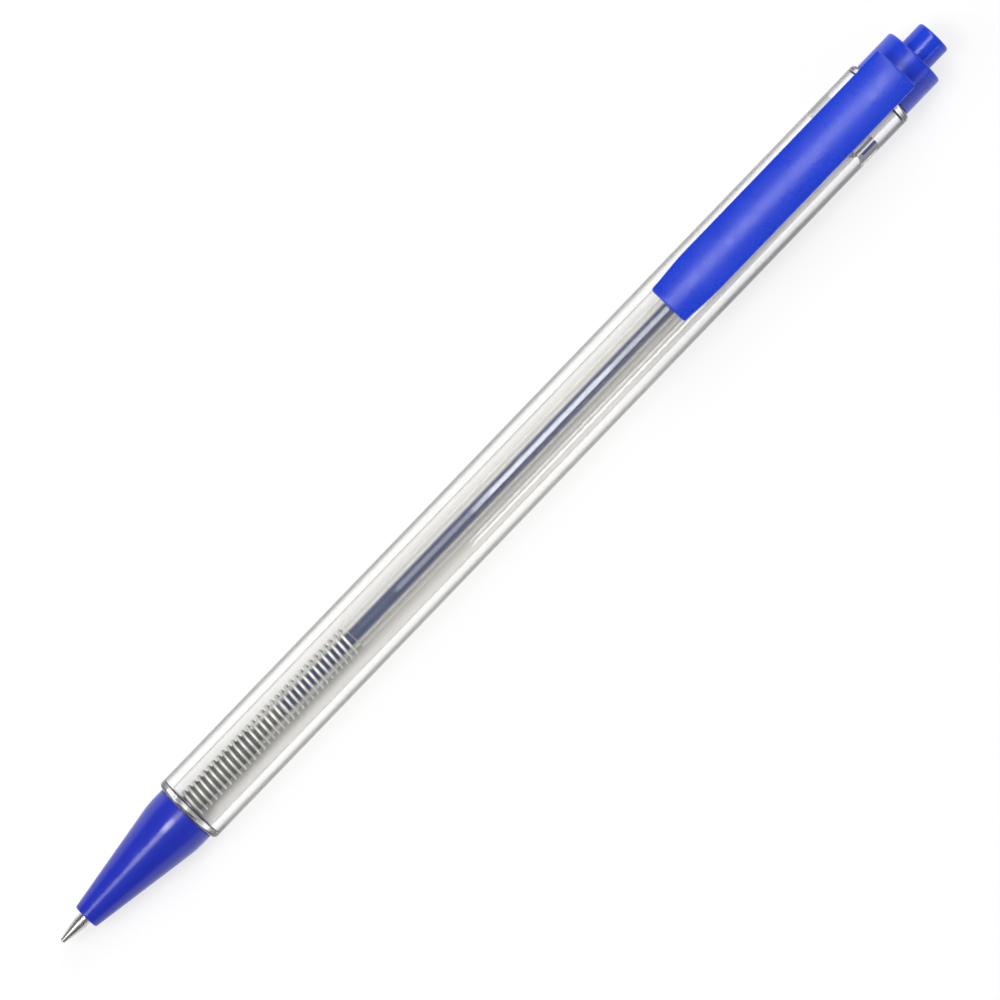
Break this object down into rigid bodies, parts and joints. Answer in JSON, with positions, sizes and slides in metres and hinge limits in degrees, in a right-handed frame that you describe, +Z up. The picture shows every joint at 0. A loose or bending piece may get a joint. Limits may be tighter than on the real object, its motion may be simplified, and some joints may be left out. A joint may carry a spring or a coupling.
{
  "type": "pushbutton ballpoint pen",
  "caption": "Retractable ballpoint pen with a clear barrel, blue nose cone, clip and push button, and an inner refill on a return spring.",
  "frame": {"origin": "on the surface that the pen lies on, under the middle of its length", "axes": "+X along the pen towards the push button, +Z up through the clip, +Y across the pen"},
  "size_m": [0.142, 0.0088, 0.0111],
  "materials": {
    "clear_plastic": "clear, polished",
    "blue_plastic": "satin moulded blue",
    "natural_plastic": "unpainted, satin",
    "tube_plastic": "translucent, smooth",
    "holder_plastic": "grey, satin",
    "ink": "wet, dark blue",
    "grease": "soft, pale yellow",
    "nickel_silver": "turned, bright",
    "carbide": "polished",
    "spring_steel": "drawn wire, bright"
  },
  "bodies": {
    "barrel": {"barrel": "clear_plastic", "nose_cone": "blue_plastic", "tail_cap": "blue_plastic", "return_spring": "spring_steel"},
    "refill": {"refill_tube": "tube_plastic", "ink_column": "ink", "ink_follower": "grease", "tip_holder": "holder_plastic", "writing_tip": "nickel_silver"},
    "button": {"push_button": "blue_plastic"},
    "rotor": {"latch_rotor": "natural_plastic"},
    "ball": {"writing_ball": "carbide"}
  },
  "joints": [
    {"name": "refill_slide", "type": "slide", "parent": "barrel", "child": "refill", "axis": [1, 0, 0], "range_m": [-0.001, 0.005], "stiffness_N_per_m": 100, "deforming": ["return_spring"]},
    {"name": "button_slide", "type": "slide", "parent": "barrel", "child": "button", "axis": [1, 0, 0], "range_m": [-0.001, 0.005]},
    {"name": "rotor_turn", "type": "hinge", "parent": "refill", "child": "rotor", "pos_m": [0.053, 0, 0.00438], "axis": [1, 0, 0], "continuous": true},
    {"name": "ball_roll", "type": "hinge", "parent": "refill", "child": "ball", "pos_m": [-0.07075, 0, 0.00438], "axis": [0, 1, 0], "continuous": true}
  ],
  "couplings": [
    {"joint": "button_slide", "follows": "refill_slide", "ratio": 1}
  ]
}
